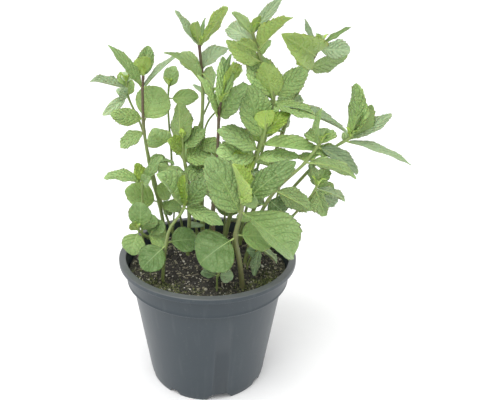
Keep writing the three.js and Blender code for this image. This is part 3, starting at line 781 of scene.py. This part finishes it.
def stem_looks():
    """Stem: green to purple-brown by height, streaked lengthwise, with paler hairs."""
    looks = Looks("mint_stem", Roughness=0.48, Subsurface_Weight=0.1, Subsurface_Scale=0.001)
    place = looks.add("TexCoord", {}, "Object")
    stretched = looks.add("Mapping", {"Vector": place, "Scale": (900.0, 900.0, 90.0)})
    streaks = looks.noise(stretched, 1.0, 3.0)
    tone, youth = looks.number("tone"), looks.number("youth")
    fresh = looks.shades(youth, *STEM_GREENS)
    purple = looks.shades(streaks, *STEM_PURPLES)
    share = looks.calc("MULTIPLY", looks.calc("SUBTRACT", streaks, 0.5), 0.6)
    share = looks.calc("ADD", tone, share, clamp=True)
    return looks.finish(looks.blend(share, fresh, purple), looks.bump(streaks, 0.0001, 0.5))


def pot_looks():
    """Pot: satin slate plastic, a little cloudy, with faint runs and dust, and the rim's top paler,
    partly wear and dust and partly painted light.
    """
    looks = Looks("slate_plastic", Specular_IOR_Level=0.5)
    place = looks.add("TexCoord", {}, "Object")
    cloud = looks.noise(place, 30.0, 4.0)
    run = looks.noise(looks.add("Mapping", {"Vector": place, "Scale": (260.0, 260.0, 14.0)}), 1.0)
    dust = looks.ease(looks.noise(place, 700.0, 3.0), 0.62, 0.8)
    colour = looks.shades(cloud, *SLATES)
    colour = looks.tinge(colour, POT_RUN, looks.ease(run, 0.5, 0.8), 0.1)
    colour = looks.tinge(colour, POT_DUST, dust, 0.12)
    height = looks.add("SeparateXYZ", {0: place}, "Z")
    # The rim's top is made paler: partly wear and dust, partly painted light where the top catches
    # the light
    lip = looks.ease(height, (POT_HEIGHT - 0.9) * MM, (POT_HEIGHT - 0.2) * MM)
    colour = looks.tinge(colour, RIM_WEAR_AND_LIGHT, lip, 0.5)
    gloss = looks.calc("MULTIPLY", cloud, 0.15)
    fine = looks.noise(place, 1600.0, 2.0)
    return looks.finish(colour, looks.bump(fine, 0.00005, 0.3), looks.calc("ADD", gloss, 0.3))


def soil_looks():
    """Soil: nearly black to tan and white by the grain, and moss green where it grows."""
    looks = Looks("potting_soil", Roughness=0.92)
    place = looks.add("TexCoord", {}, "Object")
    shade, moss = looks.number("shade"), looks.number("moss")
    fine = looks.noise(place, 900.0, 4.0)
    earth = looks.tinge(looks.shades(fine, *EARTHS), TAN_CRUMB, looks.ease(shade, 0.3, 0.7))
    earth = looks.tinge(earth, WHITE_GRAIN, looks.ease(shade, 0.75, 1.0))
    green = looks.shades(looks.ease(fine, 0.4, 0.7), *MOSSES)
    return looks.finish(looks.blend(moss, earth, green), looks.bump(fine, 0.0004, 0.8))


# Pot

def rounded(corners, radius=0.8, steps=5):
    """(radius, height) pairs with each corner eased: b becomes the curve
    (1-t)^2 p + 2t(1-t) b + t^2 q, with p and q near b on the lines to its neighbours."""
    corners = np.asarray(corners, float)
    t = np.linspace(0, 1, steps)[:, None]
    pairs = [corners[:1]]
    for a, b, c in zip(corners, corners[1:], corners[2:]):
        cut = min(radius, 0.4 * np.linalg.norm(a - b), 0.4 * np.linalg.norm(c - b))
        p, q = b + cut * unit(a - b), b + cut * unit(c - b)
        pairs.append((1 - t) ** 2 * p + 2 * t * (1 - t) * b + t**2 * q)
    return np.vstack([*pairs, corners[-1:]])


def notched(radius, turn, height):
    """Heights of the pot with its foot ring raised to the notches' tops where they are.

    A notch is a trapezoid seen from outside: its height times the share of its
    sloping side that a place is in from its edge, up to one.
    """
    pitch = 2 * np.pi / NOTCH_PAIRS
    raised = np.zeros_like(height)
    for kind, (width, top_width, tall) in enumerate(NOTCHES):
        first = math.radians(NOTCH_FIRST_TURN) + kind * pitch / 2
        off = (turn - first + pitch / 2) % pitch - pitch / 2
        share = (width / 2 - np.abs(off) * BASE_RADIUS) / ((width - top_width) / 2)
        raised = np.maximum(raised, tall * np.clip(share, 0, 1))
    ring = radius > BASE_RADIUS - FOOT_RING_WIDTH - 2 * CHAMFER
    return np.where(ring, np.maximum(height, raised), height)


def pot_outline():
    """The pot's cross-section from the middle of its underside to the middle of its floor."""
    lip, foot = POT_HEIGHT - RIM_LIP, POT_HEIGHT - COLLAR_DEPTH
    floor = FOOT_RECESS + FLOOR_THICKNESS
    recess = BASE_RADIUS - FOOT_RING_WIDTH
    corners = [
        (HUB, 0), (CENTRE_PAD_RADIUS, 0), (CENTRE_PAD_RADIUS + CHAMFER, FOOT_RECESS),
        (recess - CHAMFER, FOOT_RECESS), (recess, 0), (BASE_RADIUS - CHAMFER / 2, 0),
        (BASE_RADIUS + 0.3, FOOT_RECESS), (SHOULDER_RADIUS, foot - CHAMFER),
        *((COLLAR_FOOT_RADIUS + out, foot + up) for out, up in BEAD),
        (COLLAR_TOP_RADIUS, lip), (RIM_RADIUS, lip), (RIM_RADIUS, POT_HEIGHT),
        (RIM_RADIUS - RIM_FLANGE, POT_HEIGHT), (COLLAR_FOOT_RADIUS - WALL, foot + CHAMFER),
        (SHOULDER_RADIUS - WALL, foot - CHAMFER), (BASE_RADIUS - WALL, floor), (HUB, floor),
    ]
    return rounded(corners)


def make_pot(looks):
    """The pot's cross-section turned about its axis, in one piece."""
    pot = Heap()
    pot.add(turned(pot_outline(), POT_SEGMENTS, notched))
    stand_for(pot.piece("pot_shell", looks), "pot")


# Soil

def soil_height(x, y):
    """The soil's top: the plan's slow waves, and lumps of three sizes on them."""
    short, long = SOIL_WAVES
    wave = np.sin(x / short + 1) * np.cos(y / short) + np.sin((x - y) / long)
    lumps = sum(size * lattice_noise(x, y, cell, seed) for size, cell, seed in SOIL_LUMPS)
    return SOIL_TOP + SOIL_BUMP / 2 * wave + lumps


def moss_share(x, y):
    """How mossy a place on the soil is: near the rim, to the front left and to the right."""
    reach = np.hypot(x, y)
    turn = np.degrees(np.arctan2(y, x))
    side = sum(most * np.exp(-(((turn - way) / spread) ** 2)) for way, spread, most in MOSS_SIDES)
    patch = 0.5 + 0.5 * lattice_noise(x, y, 6.0, 11)
    start, end = MOSS_REACH
    return np.clip(side * (reach - start) / (end - start), 0, 1) * patch


def pot_inside(height):
    """Inner radius of the pot at a height."""
    foot, floor = POT_HEIGHT - COLLAR_DEPTH, FOOT_RECESS + FLOOR_THICKNESS
    heights = [floor, foot - CHAMFER, foot + CHAMFER, POT_HEIGHT]
    radii = [BASE_RADIUS - WALL, SHOULDER_RADIUS - WALL, COLLAR_FOOT_RADIUS - WALL,
             RIM_RADIUS - RIM_FLANGE]
    return np.interp(height, heights, radii)


def grains(rng, places, sizes, stretch):
    """Stony twenty-faced grains, each turned and drawn out at random, at places."""
    golden = (1 + 5**0.5) / 2
    corners = np.array([(0, a, b * golden) for a in (-1, 1) for b in (-1, 1)])
    corners = unit(np.vstack([np.roll(corners, k, axis=1) for k in range(3)]))
    faces = [
        (a, b, c) for a in range(12) for b in range(a + 1, 12) for c in range(b + 1, 12)
        if max(np.linalg.norm(corners[p] - corners[q]) for p, q in ((a, b), (b, c), (a, c))) < 1.1
    ]
    faces = np.array([
        f if np.linalg.det(corners[list(f)]) > 0 else f[::-1] for f in faces
    ])
    count = len(places)
    first = unit(rng.normal(size=(count, 3)) * (1, 1, 0.5))
    second = unit(np.cross(first, rng.normal(size=(count, 3))))
    axes = np.stack([first * stretch, second, np.cross(first, second)], 1)
    rough = rng.uniform(0.75, 1.2, (count, 12, 1))
    solid = np.einsum("vk,nkd->nvd", corners, axes) * rough * sizes[:, None, None]
    index = np.arange(count)[:, None, None] * 12 + faces
    return (places[:, None] + solid).reshape(-1, 3), np.zeros((0, 4), int), index.reshape(-1, 3)


def spikes(rng, roots, directions, lengths, width):
    """Slim three-sided cones, each standing on its root in its direction."""
    aside = unit(np.cross(directions, rng.normal(size=directions.shape)))
    third = np.cross(directions, aside)
    turn = np.arange(3) * 2 * np.pi / 3
    rims = [roots + width * (np.cos(a) * aside + np.sin(a) * third) for a in turn]
    places = np.stack([*rims, roots + directions * lengths[:, None]], 1).reshape(-1, 3)
    faces = np.array([(0, 1, 3), (1, 2, 3), (2, 0, 3), (2, 1, 0)])
    index = np.arange(len(roots))[:, None, None] * 4 + faces
    return places, np.zeros((0, 4), int), index.reshape(-1, 3)


def on_soil(rng, count, reach):
    """Random places on the soil's top, even over its area."""
    radius = reach * np.sqrt(rng.uniform(0, 1, count))
    turn = rng.uniform(0, 2 * np.pi, count)
    x, y = radius * np.cos(turn), radius * np.sin(turn)
    return np.stack([x, y, soil_height(x, y)], -1)


def soil_surface(reach):
    """The bed's skin: the pot's inside less a gap, with the uneven top over it."""
    edge = SOIL_TOP - SOIL_EDGE
    low = FOOT_RECESS + FLOOR_THICKNESS + SOIL_GAP
    shoulder = POT_HEIGHT - COLLAR_DEPTH - CHAMFER
    sides = [(pot_inside(h) - SOIL_GAP, h) for h in (low, shoulder, shoulder + 2 * CHAMFER, edge)]
    radii = reach * (1 - np.linspace(0, 0.995, SOIL_ROWS))

    def lift(radius, turn, height):
        top = soil_height(radius * np.cos(turn), radius * np.sin(turn))
        return np.where(height > edge, top, height)

    outline = [(HUB, low), *sides, *((r, SOIL_TOP) for r in radii)]
    return turned(outline, SOIL_SEGMENTS, lift)


def make_soil(looks):
    """The bed with its crumbs, white grains and fibres in one piece, and its moss in another."""
    rng = np.random.default_rng(SOIL_SEED)
    reach = pot_inside(SOIL_TOP - SOIL_EDGE) - SOIL_GAP
    soil = Heap()
    surface = soil_surface(reach)
    x, y, _ = surface[0].T
    soil.add(surface, shade=0.25 * (1 + lattice_noise(x, y, 1.3, 13)), moss=moss_share(x, y))
    places = on_soil(rng, CRUMBS, reach - 1.5)
    sizes = rng.gamma(2.5, 0.13, CRUMBS) + 0.2
    light = LIGHT_CRUMBS + LIGHT_NEAR_RIM * (np.hypot(*places.T[:2]) > SOIL_MIDDLE)
    shade = np.where(rng.uniform(0, 1, CRUMBS) < light, rng.uniform(0.35, 0.9, CRUMBS), 0.1)
    moss = np.repeat(moss_share(*places.T[:2]) * (rng.uniform(0, 1, CRUMBS) < 0.5), 12)
    crumbs = grains(rng, places, sizes, CRUMB_STRETCH)
    soil.add(crumbs, shade=np.repeat(shade, 12), moss=moss)
    places = on_soil(rng, WHITE_GRAINS, reach - 3)
    sizes = rng.uniform(*WHITE_SIZES, WHITE_GRAINS)
    soil.add(grains(rng, places, sizes, WHITE_STRETCH), shade=1.0, moss=0.0)
    places = on_soil(rng, FIBRES, reach - 4) + (0, 0, 0.3)
    sizes = rng.uniform(*FIBRE_SIZES, FIBRES)
    soil.add(grains(rng, places, sizes, FIBRE_STRETCH), shade=0.7, moss=0.0)
    stand_for(soil.piece("soil_bed", looks, smooth=False), "soil")
    make_moss(rng, reach, looks)


def make_moss(rng, reach, looks):
    """Tufts of slim blades where the soil is mossy."""
    moss = Heap()
    places = on_soil(rng, MOSS_TUFTS * 12, reach - 1)
    places = places[rng.uniform(0, 1, len(places)) < moss_share(*places.T[:2])][:MOSS_TUFTS]
    lengths = rng.uniform(*TUFT_LENGTHS, len(places) * TUFT_BLADES)
    ways = unit(rng.normal(size=(len(lengths), 3)) * (0.45, 0.45, 0.2) + (0, 0, 1))
    roots = np.repeat(places, TUFT_BLADES, axis=0)
    moss.add(spikes(rng, roots, ways, lengths, TUFT_WIDTH), shade=0.3, moss=1.0)
    stand_for(moss.piece("soil_moss", looks), "soil")


# Leaves and stems

def leaf_axes(heading, rise, roll):
    """Unit vectors along a leaf, to its side and up from its face."""
    h, r, t = np.radians([heading, rise, roll])
    along = np.array([np.cos(r) * np.cos(h), np.cos(r) * np.sin(h), np.sin(r)])
    level = np.array([-np.sin(r) * np.cos(h), -np.sin(r) * np.sin(h), np.cos(r)])
    up = np.cos(t) * level + np.sin(t) * np.cross(along, level)
    return along, np.cross(along, up), up


def blade_outline(kind, length, width, stray):
    """Shares s along and v across a toothed blade, its margin, and places along and across.

    v half(s) is the way across, where half(s) is a power of sin(pi s^early). Rows
    follow the teeth: each tooth climbs to its point and falls back.
    """
    teeth = max(FEWEST_TEETH, round(kind["teeth"] * min(1.0, length / TOOTHED_LENGTH)))
    steps = np.array(TOOTH_STEPS)
    s = np.append((np.arange(teeth)[:, None] + steps).ravel() / teeth, 1.0)[:, None]
    point = np.append(np.tile(steps / steps[-1], teeth), 0.0)[:, None]
    bite = np.clip(s / 0.12, 0, 1) * np.clip((1 - s) / 0.05, 0, 1)
    swell = np.sin(np.pi * s ** kind["early"]) ** kind["full"]
    half = np.maximum(0.52 * width * swell, 0.6 * (1 - s) + 0.08)
    v = np.linspace(-1, 1, BLADE_COLUMNS + 1)[None]
    v = np.sign(v) * np.abs(v) ** 0.9
    margin = np.abs(v) ** 7
    uneven = 1 + 0.5 * np.sin(2.4 * np.floor(s * teeth) + 5 * stray)
    depth = kind["tooth"] * min(1.0, width / TOOTHED_WIDTH) * uneven
    across = v * half + np.sign(v) * depth * (point - 0.2) * bite * margin
    blade = length * (1 - kind["petiole"])
    reach = length - blade + s * blade + 0.9 * depth * point * bite * margin
    return s, v, margin, reach, across


def blade_relief(kind, s, v, margin, reach, across, draw):
    """Side veins counted along a blade, where quilting shows, and the heights of both.

    The quilting is a ridge between side veins, which lie where s - slant |v| is
    whole, times finer ridges across it; it dies away at the midrib and at the
    edge. The midrib has a groove and the edge is wavy.
    """
    vein = kind["veins"] * (s - VEIN_SLANT * np.abs(v) ** 1.35)
    vein = vein + 0.12 * lattice_noise(reach, across, 4.0, int(50 + 40 * draw[1]))
    ridge = np.abs(np.sin(np.pi * vein)) ** 0.6
    strip = np.sin(7.1 * np.floor(vein) + 9 * np.sign(v))
    cells = np.abs(np.sin(np.pi * (np.abs(across) / CELL_LENGTH + strip))) ** 0.6
    fade = np.clip(np.abs(across) / 0.8, 0, 1) * (1 - 0.6 * margin) * np.clip((1 - s) / 0.15, 0, 1)
    quilt = kind["quilt"] * fade * ridge * (0.65 + 0.35 * cells)
    groove = -0.3 * np.exp(-((across / 0.55) ** 2)) * (1 - s)
    ripple = np.sin(2 * np.pi * (2.3 * s + draw[1])) * np.sign(v + draw[2])
    return vein, fade, quilt + groove + kind["quilt"] * 0.8 * margin * ripple


def add_leaf(blades, stalk, root, row, sign, draw):
    """One leaf: a toothed, quilted blade of two faces, and the rib and petiole under it.

    A point is root + reach along + (across + sway) side + (bow + fold |across| +
    relief) up. Eight random draws from -1 to 1 set how far the leaf strays from
    its plan.
    """
    _, heading, rise, length, width, roll, age, *more = row
    kind = AGES[age]
    look, step = divmod(SIGNS.index(sign), 5)
    bend, fold = (*more, *(USUAL_BEND, kind["fold"])[len(more):])
    along, side, up = leaf_axes(heading, rise, roll)
    s, v, margin, reach, across = blade_outline(kind, length, width, draw[0])
    vein, fade, relief = blade_relief(kind, s, v, margin, reach, across, draw)
    share = reach / length
    bow = 4 * bend * length * share * (1 - share)
    curl = -0.8 * np.clip((s - 0.75) / 0.25, 0, 1) ** 2 * (1 + draw[3])
    sway = 0.03 * length * draw[4] * np.sin(np.pi * share)
    lift = bow + curl + fold * np.abs(across) ** 1.05 + relief
    upper = root + reach[..., None] * along + (across + sway)[..., None] * side + lift[..., None] * up
    normal = unit(np.cross(np.gradient(upper, axis=1), np.gradient(upper, axis=0)))
    thickness = BLADE_THICKNESS * (1 - np.abs(v) ** 6) + 0.02
    lower = upper - thickness[..., None] * normal * np.sign(normal @ up)[..., None]

    def both(values):
        """Numbers of the upper face, repeated for the lower, and for the two ends."""
        values = np.broadcast_to(values, across.shape)
        round_ = np.concatenate([values, values[:, -2:0:-1]], axis=1)
        return np.concatenate([round_.ravel(), [values[0].mean(), values[-1].mean()]])

    rings = np.concatenate([upper, lower[:, -2:0:-1]], axis=1)
    under = np.tile(np.repeat([0.0, 1.0], [BLADE_COLUMNS + 1, BLADE_COLUMNS - 1]), len(s))
    blades.add(
        skin(rings), u=both(reach) / 10 + 7 * draw[5], v=both(across) / 10,
        vein=both(vein), fade=both(fade * kind["quilt"]), under=np.append(under, [0.0, 0.0]),
        rib=both((0.2 + 0.2 * kind["quilt"]) * (1 - 0.7 * s)),
        youth=both(YOUTHS[look] + 0.1 * abs(draw[5]) + 0.3 * (1 - s) ** 2),
        tint=step / 4 + 0.05 * draw[6], frost=SHEEN_SHARES[look] + 0.1 * abs(draw[7]),
    )
    # Rib: a round strand from the stem's middle, under the blade, to near its tip
    keel = (lower[:, BLADE_COLUMNS // 2] + 0.1 * up)[:-2:2]
    strand = np.vstack([root + k * (keel[0] - root) for k in (0, 0.25, 0.5, 0.75)] + [keel])
    thin = 1 - 0.85 * np.linspace(0, 1, len(strand)) ** 0.7
    radius = np.interp(length, (8, 40), (0.4, 0.85)) * thin
    stalk.add(tube(strand, radius, 8, up), tone=0.12 + 0.1 * draw[7], youth=0.6)


def add_crown(blades, stalk, tip, rng):
    """The crown at a stem's end: two crossed pairs of tiny folded leaves."""
    turn = rng.uniform(0, 360)
    for pair, (size, rise) in enumerate(CROWN_PAIRS):
        for half_turn in (0, 180):
            row = (0, turn + 90 * pair + half_turn, rise, size, size * 0.5, 0, "young", 0.08)
            add_leaf(blades, stalk, tip, row, CROWN_TONE, rng.uniform(-1, 1, 8))


def make_stem(plan, leaf, stem):
    """One leafy stem: its blades in one piece, and its stalk, ribs and hairs in another."""
    rng = np.random.default_rng(sum(map(ord, plan["name"])) + SEED_STEPS.get(plan["name"], 0))
    path = smooth_path(plan["path"], STEM_STEP)
    foot = np.array([(*path[0][:2], height) for height in np.linspace(STEM_FOOT, STEM_START - 1, 7)])
    middle = np.vstack([foot, path])
    share = np.linspace(0, 1, len(middle))
    plain = np.interp(share, (0, 1), plan["radius"])
    swell = sum(np.exp(-(((middle[:, 2] - row[0]) / NODE_REACH) ** 2)) for row in plan["leaves"])
    radius = 0.92 * plain * (1 + NODE_SWELL * np.minimum(swell, 1))
    low, high, start, end = STEM_TONES.get(plan["name"], USUAL_TONE)
    tone = np.interp(share, (start, end), (low, high))
    blades, stalk = Heap(), Heap()
    skinned = tube(middle, radius, STEM_SIDES, (0, 1, 0), STEM_CORNERS)
    stalk.add(skinned, tone=np.append(np.repeat(tone, STEM_SIDES), tone[[0, -1]]), youth=0.1)
    seat = rng.integers(len(foot), len(middle) - 1, HAIRS_PER_STEP * len(path))
    along = unit(np.gradient(middle, axis=0))[seat]
    out = unit(np.cross(along, rng.normal(size=(len(seat), 3))))
    slid = middle[seat] + along * rng.uniform(-0.8, 0.8, (len(seat), 1))
    roots = slid + out * radius[seat, None] * 0.8
    ways = unit(out + 0.3 * along)
    hairs = spikes(rng, roots, ways, rng.uniform(*HAIR_LENGTHS, len(seat)), HAIR_WIDTH)
    stalk.add(hairs, tone=0.0, youth=1.0)
    signs = LEAF_TONES.get(plan["name"], USUAL_TONES)
    for row, sign in zip(plan["leaves"], signs):
        root = [np.interp(row[0], path[:, 2], path[:, axis]) for axis in range(3)]
        add_leaf(blades, stalk, np.array(root), row, sign, rng.uniform(-1, 1, 8))
    add_crown(blades, stalk, path[-1], rng)
    stand_for(blades.piece(plan["name"] + "_leaves", leaf), plan["name"])
    stand_for(stalk.piece(plan["name"] + "_stalk", stem), plan["name"])


# Camera, light and floor

def make_camera():
    """The camera, in front of the pot and tilted down to it."""
    camera = bpy.data.objects.new("camera", bpy.data.cameras.new("camera"))
    camera.location = CAMERA_PLACE
    camera.rotation_euler = (math.radians(90 - CAMERA_PITCH), 0, 0)
    camera.data.lens = CAMERA_LENS
    camera.data.shift_x = CAMERA_SHIFT
    bpy.context.scene.collection.objects.link(camera)
    bpy.context.scene.camera = camera


def make_studio():
    """A white sky, a soft key light and a floor of white paper."""
    world = bpy.data.worlds.new("studio")
    bpy.context.scene.world = world
    world.use_nodes = True
    world.node_tree.nodes["Background"].inputs["Color"].default_value = (1.0, 1.0, 1.0, 1.0)
    world.node_tree.nodes["Background"].inputs["Strength"].default_value = SKY_POWER
    bpy.context.scene.view_settings.view_transform = "Standard"
    sun = bpy.data.objects.new("key_light", bpy.data.lights.new("key_light", "SUN"))
    sun.data.energy = KEY_POWER
    sun.data.angle = math.radians(KEY_SPREAD)
    sun.rotation_euler = tuple(math.radians(turn) for turn in KEY_TURNS)
    bpy.context.scene.collection.objects.link(sun)
    floor = Heap()
    outline = [(HUB, -20), (FLOOR_RADIUS, -20), (FLOOR_RADIUS, 0), (HUB, 0)]
    floor.add(turned(outline, 64))
    paper = Looks("paper", Roughness=0.9)
    grain = paper.noise(paper.add("TexCoord", {}, "Object"), 60.0)
    floor.piece("floor", paper.finish(paper.shades(grain, *PAPERS)))


make_camera()
make_studio()
make_pot(pot_looks())
make_soil(soil_looks())
leaf, stem = leaf_looks(), stem_looks()
for plan in STEMS:
    make_stem(plan, leaf, stem)
